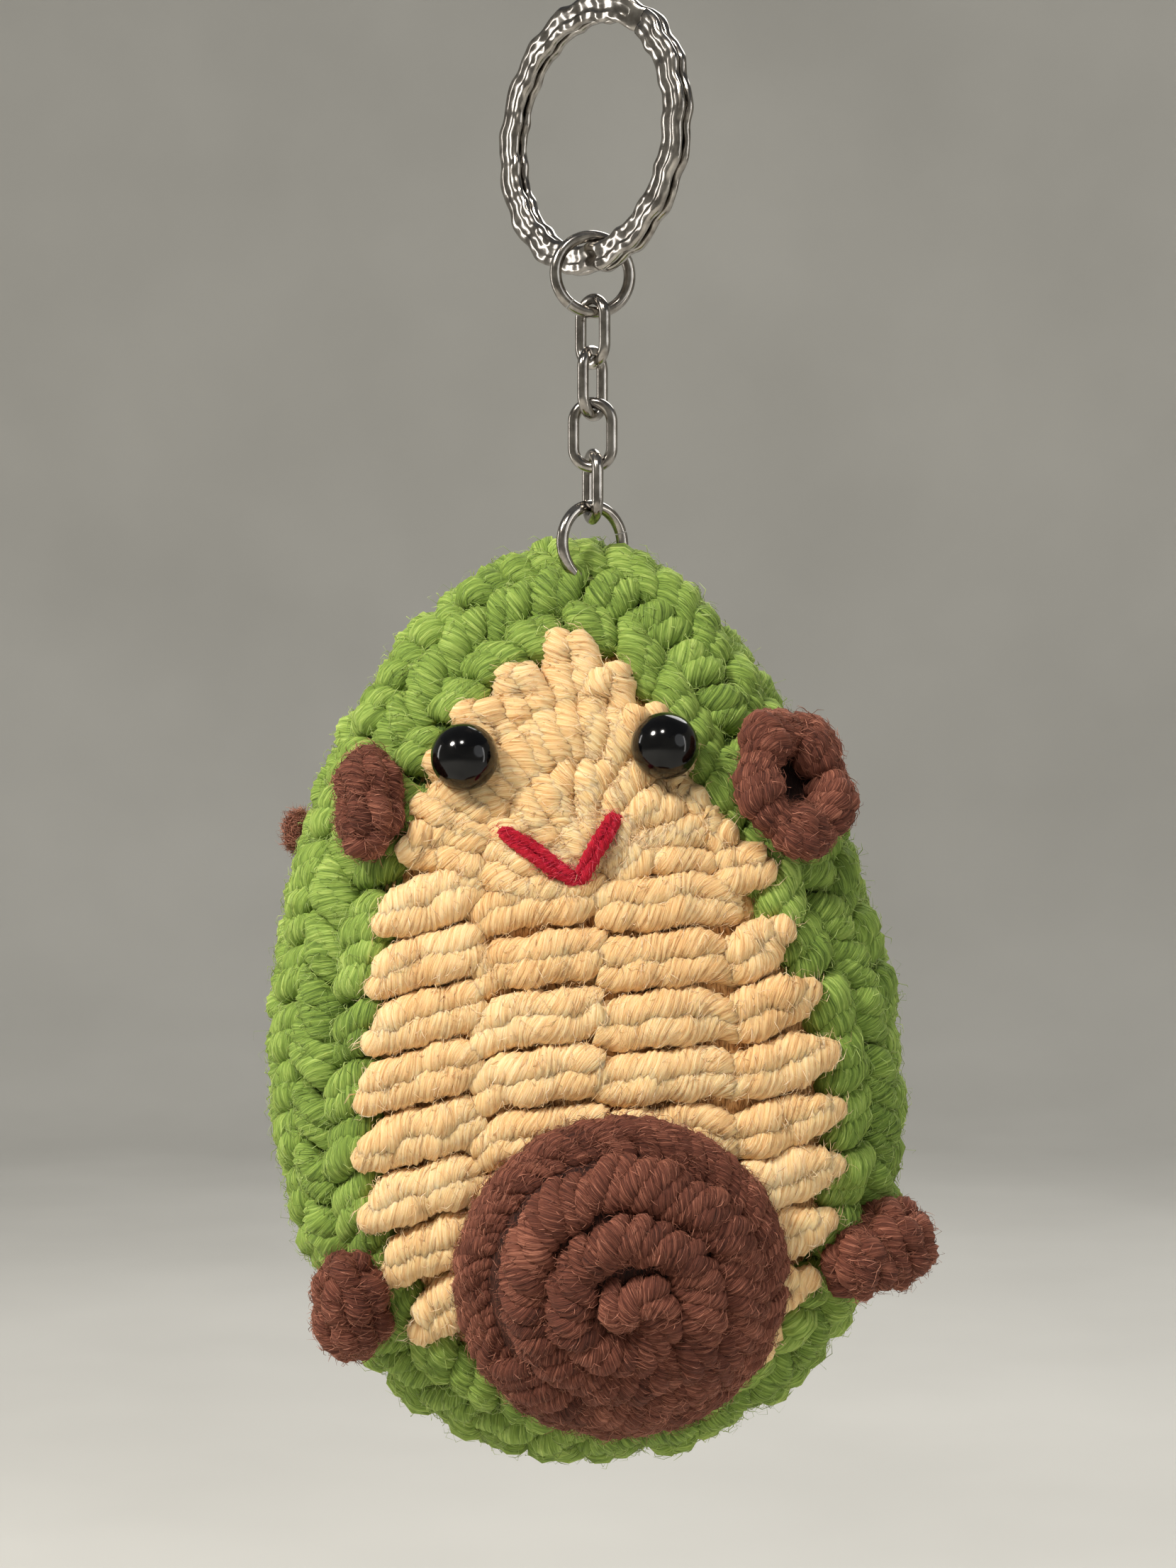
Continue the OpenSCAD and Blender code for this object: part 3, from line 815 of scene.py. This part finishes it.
def pit_surface():
    """The pit's domed face, read by the angle round its centre and the share of the way out."""
    a = spin(120)
    s = np.linspace(0.0, 1.0, 60)
    x = PIT_AT[0] + PIT_HALF[0] * s[None] * np.cos(a)[:, None]
    z = PIT_AT[1] + PIT_HALF[1] * s[None] * np.sin(a)[:, None]
    points, _ = front(x, z)
    rise = np.where(s < PIT_PAD_EDGE, PIT_BULGE * np.clip(1 - (s / PIT_PAD_EDGE) ** 2, 0, 1) ** 0.8, 0)
    smooth = 0.5 * rise + 0.5 * PIT_BULGE * np.clip(1 - s ** 2, 0, 1) ** 0.9
    thick = PIT_FABRIC * np.clip(1 - s ** 10, 0, 1) ** 0.4
    points[..., 1] -= (PIT_GAP + smooth + thick)[None]
    points[:, 0] = points[:, 0].mean(0)
    grid = Grid(points)
    grid.normals[:, 0] = unit(grid.normals[:, 1].mean(0))
    return grid


def brown_knit():
    return Knit(plies=6, lead=3.3, ridge=0.1, step=0.42)


def pit_puff(knit, surface, centre, angle, mid, reach, lean, apart, radius, top):
    """A puff of two strands that crosses a round of the pit, leaning along it."""
    tint = rng.normal(0, 1)
    t = np.linspace(0, 1, 16)
    r = mid + reach * (t - 0.5) * 2
    for shift in (-apart, apart):
        bend = angle + (shift + lean * (t - 0.5) * 2) / max(mid, 2.2)
        u = (centre[0] + r * np.cos(bend) - PIT_AT[0]) / PIT_HALF[0]
        v = (centre[1] + r * np.sin(bend) - PIT_AT[1]) / PIT_HALF[1]
        points, normals = surface(np.arctan2(v, u) % TAU, np.minimum(np.hypot(u, v), 1.0))
        points = points + normals * swell(t, -1.8, top + rng.normal(0, 0.12), 0.6)[:, None]
        knit.strand(points, normals, swell(t, radius * 0.6, radius, 0.7) * rng.uniform(0.94, 1.08),
                    tint + rng.normal(0, 0.4))


def pit_cover():
    """A swirl of puffs that widens turn by turn, and a smoother round that wraps over the edge."""
    surface = pit_surface()
    knit = brown_knit()
    heart, middle = np.array(PIT_HEART), np.array(PIT_AT)
    run, mid = 0.0, SWIRL_START
    while mid < SWIRL_END:
        share = min(mid / SWIRL_CENTRED, 1.0)
        centre = heart * (1 - share) + middle * share
        pit_puff(knit, surface, centre, 2.2 - run, mid + rng.normal(0, 0.2), 2.25 + 0.15 * share, -1.5,
                 0.9, 1.42, 0.1 - 0.6 * share + rng.normal(0, 0.2))
        step = 3.6 / max(mid, 2.6)
        run += step
        mid += step / TAU * PIT_ROUND
    for k in range(PIT_EDGE_PUFFS):
        angle = (k + rng.uniform(-0.1, 0.1)) / PIT_EDGE_PUFFS * TAU
        pit_puff(knit, surface, PIT_AT, angle, PIT_EDGE_R, 1.9, 2.5, 0.6, 1.1, -0.8 + rng.normal(0, 0.1))
    # A sheet painted dark as the shade in the gaps between the puffs.
    knit.shade_sheet(*on_grid(surface, 96, np.linspace(0.0, 0.93, 26)), (1.3, 1.9))
    knit.fuzz(7100, 1.3, 0.25, 0.042)
    knit.fuzz(1200, 1.6, 0.6, 0.022, 0.9)
    put_padded(knit.make("pit_patch", BROWN), "pit_cover")


# ---- limbs ----

UPRIGHT = np.eye(3)[[2, 0, 1]]  # axes of a lump that is wound round an upright line


def base_axes(at):
    """The point and the axes of the front surface at (x, z), with the third axis outward."""
    point, normal = front(at[0], at[1])
    tilt, turn = math.acos(normal[2]), math.atan2(normal[1], normal[0])
    x = np.array([math.cos(tilt) * math.cos(turn), math.cos(tilt) * math.sin(turn), -math.sin(tilt)])
    y = np.array([-math.sin(turn), math.cos(turn), 0])
    return point, np.stack([x, y, normal])


def turned(axes, degrees):
    """Axes turned round the third of them."""
    t = math.radians(degrees)
    x = axes[0] * math.cos(t) + axes[1] * math.sin(t)
    y = -axes[0] * math.sin(t) + axes[1] * math.cos(t)
    return np.stack([x, y, axes[2]])


def lump_surface(centre, axes, half):
    """An ellipsoid read by the angle round its first axis and the share along that axis."""
    columns, rows = 48, 40
    a = spin(columns)
    t = np.linspace(0.0, 1.0, rows) * math.pi
    x = half[0] * np.cos(t)[None] * np.ones((columns, 1))
    y = half[1] * np.sin(t)[None] * np.cos(a)[:, None]
    z = half[2] * np.sin(t)[None] * np.sin(a)[:, None]
    return Grid(centre + x[..., None] * axes[0] + y[..., None] * axes[1] + z[..., None] * axes[2])


def wound_lump(knit, centre, axes, half, bands, pitch, radius):
    """Covers a lump with short slanted stitches, band by band along its first axis."""
    surface = lump_surface(centre, axes, half)
    rise = 0.62 / bands
    for i in range(bands):
        f = (i + 0.5) / bands
        girth = TAU * math.sqrt((half[1] ** 2 + half[2] ** 2) / 2) * math.sin(math.pi * f)
        count = max(3, int(round(girth / pitch)))
        lean = 0.42 / count * TAU
        for k in range(count):
            a = (k + 0.5 * (i % 2) + rng.uniform(-0.12, 0.12)) / count * TAU
            tint = rng.normal(0, 1)
            leg(knit, surface, (a - lean, max(f - rise, 0.02)), (a + lean, min(f + rise, 0.98)),
                radius * rng.uniform(0.9, 1.1), low=-radius * 1.6, high=-radius * 0.75, thin=0.6, tint=tint)
    # A sheet painted dark as the shade in the gaps between the stitches.
    knit.shade_sheet(*on_grid(surface, 24, np.linspace(0.02, 0.98, 12)), (radius * 1.1, radius * 1.6))


def limb(name, knit, node_name):
    knit.fuzz(2200, 1.3, 0.2, 0.042)
    knit.fuzz(400, 1.5, 0.6, 0.022, 0.9)
    put_padded(knit.make(name, BROWN), node_name)


def lobe(name, at, degrees, out, half, node_name):
    """A limb that is one lump, which stands out from the front at (x, z)."""
    knit = brown_knit()
    point, axes = base_axes(at)
    wound_lump(knit, point + axes[2] * out, turned(axes, degrees), half, 4, 3.1, 1.45)
    limb(name, knit, node_name)


def left_arm():
    lobe("left_arm_lobe", LEFT_ARM_AT, 8, 2.2, (6.2, 3.8, 3.7), "left_arm")


def left_arm_knot():
    knit = brown_knit()
    wound_lump(knit, np.array(ARM_TAIL_AT), UPRIGHT, (2.2, 1.5, 1.5), 2, 1.8, 0.7)
    limb("left_arm_tail", knit, "left_arm_knot")


def right_arm():
    """A cup of fat petals round a hole whose floor is painted dark as the shade in it."""
    knit = brown_knit()
    point, axes = base_axes(RIGHT_ARM_AT)
    centre = point + axes[2] * 3.2
    petals, cup_r, wall_r, widen = 5, 4.55, 2.45, 1.16
    a = spin(72)
    t = np.linspace(-1.0, 3.7, 40)
    wall = wall_r * (1 + 0.2 * np.cos(petals * a + 0.6))[:, None]
    radial = axes[0] * np.cos(a)[:, None] * widen + axes[1] * np.sin(a)[:, None]
    ring = centre + radial[:, None] * cup_r
    points = (ring - radial[:, None] * (wall * np.cos(t))[..., None]
              + axes[2] * (wall * np.sin(t))[..., None])
    surface = Grid(points)
    surface.normals = unit(points - ring)
    for start, stop, count, high in ((0.04, 0.46, 8, -1.3), (0.28, 0.72, 11, -1.0), (0.56, 0.98, 14, -1.0)):
        for k in range(count):
            at = (k + 0.5 * (count % 2) + rng.uniform(-0.1, 0.1)) / count * TAU
            tint = rng.normal(0, 1)
            for shift in (-0.2, 0.2):
                u = at + shift / count * TAU
                leg(knit, surface, (u - 0.16, start), (u + 0.16, stop), 1.35, low=-2.0, high=high,
                    thin=0.6, tint=tint)
    # A sheet painted dark as the shade in the gaps between the petals.
    knit.shade_sheet(points[:, ::2], surface.normals[:, ::2], (1.2, 1.7))
    # The hole's floor: a sheet painted at shade 6, darker still, as the shade deep in the cup.
    share = np.linspace(0.02, 1.0, 6)[None, :, None]
    floor = centre - axes[2] * 1.6 + radial[:, None] * share * cup_r
    knit.sheet(floor, floor - axes[2] * 0.6, 6.0)
    limb("right_arm_cup", knit, "right_arm")


def left_foot():
    lobe("left_foot_roll", LEFT_FOOT_AT, -12, 2.4, (6.5, 4.2, 4.2), "left_foot")


def right_foot():
    """A ball on a smaller lobe."""
    knit = brown_knit()
    point, axes = base_axes(RIGHT_FOOT_AT)
    wound_lump(knit, point + axes[2] * 2.0, axes, (3.9, 3.9, 3.9), 3, 3.0, 1.35)
    wound_lump(knit, np.array(RIGHT_BALL_AT), UPRIGHT, (4.9, 4.9, 4.9), 4, 3.2, 1.4)
    limb("right_foot_ball", knit, "right_foot")


# ---- mouth and filling ----

def mouth():
    """Two stitches of red yarn, each of two strands side by side."""
    knit = Knit(plies=3, lead=2.6, ridge=0.2, step=0.25)
    t = np.linspace(0, 1, 30)
    for a, b in zip(np.array(MOUTH[:-1]), np.array(MOUTH[1:])):
        way = b - a
        up = np.array([-way[1], way[0]]) / np.linalg.norm(way)
        for side in (-0.44, 0.44):
            xz = a + way * t[:, None] + up * (side * np.sin(math.pi * t) ** 0.4)[:, None]
            points, normals = front(xz[:, 0], xz[:, 1])
            lift = swell(t, -0.9, 0.75, 0.35)
            knit.strand(points + normals * lift[:, None], normals, np.full(len(t), 0.64))
    knit.fuzz(500, 1.1, 0.2, 0.035)
    put(knit.make("mouth_thread", RED), "avocado_body", "mouth_stitch")


def filling(name, points, node_name):
    """A closed lump of loose filling with a tufted surface, from a grid of its skin's points."""
    n, m = points.shape[:2]
    middle = points.reshape(-1, 3).mean(0)
    tufts = 1 + 0.02 * np.sin(np.arange(n) * 1.9)[:, None] * np.sin(np.arange(m) * 2.3)[None]
    knit = Knit()
    knit.sheet(middle + (points - middle) * tufts[..., None], middle + (points - middle) * 0.5, 0.0)
    put_padded(knit.make(name, FILL), node_name)


def body_filling():
    face, _ = flesh_face(96, np.linspace(0.03, 1, 16))
    rest, _ = on_grid(green_surface()[0], 96, np.linspace(0.02, 1, 50))
    skin = np.concatenate([face, rest], 1)
    middle = np.array([BODY_X, 2.0, BODY_TOP - BODY_H / 2])
    filling("body_filling", middle + (skin - middle) * np.array([0.84, 0.66, 0.86]), "body_stuffing")


def pit_filling():
    points, _ = on_grid(pit_surface(), 48, np.linspace(0.03, 0.8, 14))
    filling("pit_filling", points + np.array([0, 3.0, 0]), "pit_stuffing")


# ---- split ring ----

def wavy_section(theta, side):
    """The flat wire's section at each angle: places across its width, and through its thickness.

    Two bright ridges and a groove run along the face that looks away from the other coil.
    """
    w = spin(44)
    across = np.sign(np.cos(w)) * np.abs(np.cos(w)) ** 0.6 * SPLIT_WIDTH / 2
    through = np.sign(np.sin(w)) * np.abs(np.sin(w)) ** 0.7 * SPLIT_THICK / 2
    ridges = 0.42 + 0.66 * np.abs(np.sin(TAU * (across / SPLIT_WIDTH + 0.5))) ** 0.8
    ridged = np.sign(through) * SPLIT_THICK / 2 * np.minimum(ridges, np.abs(np.sin(w)) ** 0.35)
    lift = np.where(through[None] * side[:, None] > 0, ridged[None], through[None])
    beat = 0.12 * np.sin(SPLIT_WAVES * theta + 2) + 0.06 * np.sin(2.6 * SPLIT_WAVES * theta)
    squeeze = 1 + 0.045 * np.sin(SPLIT_WAVES * theta + 0.8)
    return across[None] * squeeze[:, None], lift * (1 + beat[:, None])


def split_ring():
    """Two coils of flat wavy wire, with a short step from one to the other."""
    low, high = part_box("split_ring")
    outer = (high[2] - low[2]) / 2 / MM
    climb_at, climb = math.radians(SPLIT_CLIMB_AT), math.radians(SPLIT_CLIMB)
    theta = np.linspace(climb_at + climb, climb_at - climb + 2 * TAU, 760)
    share = np.clip((theta - (climb_at - climb + TAU)) / (2 * climb), 0, 1)
    axial = SPLIT_LAYER * (2 * share * share * (3 - 2 * share) - 1)
    across, lift = wavy_section(theta, np.sign(axial + 1e-9))
    wiggle = 0.16 * np.sin(SPLIT_WAVES * theta) + 0.05 * np.sin(2 * SPLIT_WAVES * theta + 1)
    r = (outer - SPLIT_WIDTH / 2 - 0.12 + wiggle)[:, None] + across
    x, z = r * np.cos(theta)[:, None], r * np.sin(theta)[:, None]
    stood = np.stack([x, -(axial[:, None] + lift), z], -1)
    turn = math.radians(SPLIT_TURN)
    c, s = math.cos(turn), math.sin(turn)
    points = (stood @ np.array([[c, -s, 0], [s, c, 0], [0, 0, 1]]).T).reshape(-1, 3)
    rings, around = across.shape
    i, j = np.meshgrid(np.arange(rings - 1), np.arange(around), indexing="ij")
    a, b = i * around + j, i * around + (j + 1) % around
    quads = np.stack([a, b, b + around, a + around], -1).reshape(-1, 4)
    ends = np.stack([np.arange(around)[::-1], (rings - 1) * around + np.arange(around)])
    obj = mesh_object("wavy_split_ring", points, [quads, ends], NICKEL)
    put(obj, "split_ring", "split_ring")


# ---- stage, in metres ----

FLOOR_Z = -0.2
WALL_BEND = 0.3
WALL_FOOT_R = 0.75
WALL_TOP = 0.62
LOOK_AT = (-0.0005, 0, -0.0698)
CAMERA_BACK = 0.32
VIEW_H = 0.1685  # the height that the view takes in, at the charm
FILM = 36
WARM = (1.0, 0.95, 0.87)
MILD = (1.0, 0.98, 0.95)


def backdrop():
    """A pale floor that turns up into a wall all round."""
    t = np.linspace(0, math.pi / 2, 14)
    profile = [(0.00001, FLOOR_Z), (0.3, FLOOR_Z)]
    profile += [(WALL_FOOT_R + WALL_BEND * math.sin(k), FLOOR_Z + WALL_BEND * (1 - math.cos(k))) for k in t]
    profile += [(WALL_FOOT_R + WALL_BEND, WALL_TOP)]
    profile = np.array(profile) / MM
    n, m = 96, len(profile)
    a = spin(n)
    points = np.stack([
        profile[None, :, 0] * np.cos(a)[:, None],
        profile[None, :, 0] * np.sin(a)[:, None],
        np.broadcast_to(profile[:, 1], (n, m)),
    ], -1)
    mat, tree, bsdf = shader("pale backdrop")
    noise = object_noise(tree, Scale=9.0, Detail=3.0)
    colour = ramp(tree, noise, [(0.3, (198, 197, 192)), (0.7, (208, 207, 202))])
    tree.links.new(colour, bsdf.inputs["Base Color"])
    set_inputs(bsdf, {"Roughness": 0.9})
    i, j = np.meshgrid(np.arange(n), np.arange(m - 1), indexing="ij")
    p, q = i * m + j, (i + 1) % n * m + j
    faces = np.stack([p, q, q + 1, p + 1], -1).reshape(-1, 4)
    mesh_object("backdrop", points.reshape(-1, 3), [faces], mat)


def aim(obj, target):
    """Turns a lamp or a camera to face a place."""
    way = np.array(target) - np.array(obj.location)
    obj.rotation_mode = "QUATERNION"
    obj.rotation_quaternion = Vector(way).to_track_quat("-Z", "Y")


def lamp(name, place, size, power, colour, tall=None):
    """A round soft lamp, or an upright strip where tall is given."""
    data = bpy.data.lights.new(name, "AREA")
    data.shape = "RECTANGLE" if tall else "DISK"
    data.size = size
    if tall:
        data.size_y = tall
    data.energy = power
    data.color = colour
    obj = bpy.data.objects.new(name, data)
    obj.location = place
    obj.visible_camera = False
    bpy.context.scene.collection.objects.link(obj)
    aim(obj, (0, 0, place[2] if tall else -0.09))


def lighting():
    """Soft lamps, most from the upper left, with strips that draw lines down the metal."""
    lamp("key", (-0.38, -0.32, 0.34), 0.13, 4.3, WARM)
    lamp("second", (-0.08, -0.42, 0.42), 0.1, 1.5, (1.0, 0.96, 0.9))
    lamp("fill", (0.46, -0.34, 0.1), 0.4, 0.45, (0.93, 0.96, 1.0))
    lamp("rim", (0.2, 0.45, 0.4), 0.4, 2.2, MILD)
    lamp("left strip", (-0.5, 0.06, -0.03), 0.05, 0.5, MILD, tall=0.4)
    lamp("right strip", (0.48, -0.16, -0.02), 0.04, 0.25, MILD, tall=0.4)
    world = bpy.data.worlds.new("room")
    world.use_nodes = True
    set_inputs(world.node_tree.nodes["Background"], {"Color": (0.5, 0.51, 0.52, 1), "Strength": 0.27})
    bpy.context.scene.world = world
    bpy.context.scene.view_settings.view_transform = "Standard"


def camera():
    """Level with the middle of the charm and straight in front of it."""
    data = bpy.data.cameras.new("camera")
    data.sensor_width = FILM
    data.lens = FILM * CAMERA_BACK / VIEW_H
    data.clip_start = 0.01
    obj = bpy.data.objects.new("camera", data)
    obj.location = (LOOK_AT[0], -CAMERA_BACK, LOOK_AT[2])
    bpy.context.scene.collection.objects.link(obj)
    aim(obj, LOOK_AT)
    bpy.context.scene.camera = obj


# ---- the whole charm ----

camera()
backdrop()
lighting()
split_ring()
finish_nodes(NICKEL, "top_jump_ring", "chain_link_1", "chain_link_2", "chain_link_3", "chain_link_4",
             "bottom_jump_ring")
finish_nodes(BLACK, "left_eye", "right_eye")
finish_nodes(WHITE, "left_eye_washer", "right_eye_washer")
green_panels()
cream_panel()
pit_cover()
left_arm()
left_arm_knot()
right_arm()
left_foot()
right_foot()
mouth()
body_filling()
pit_filling()
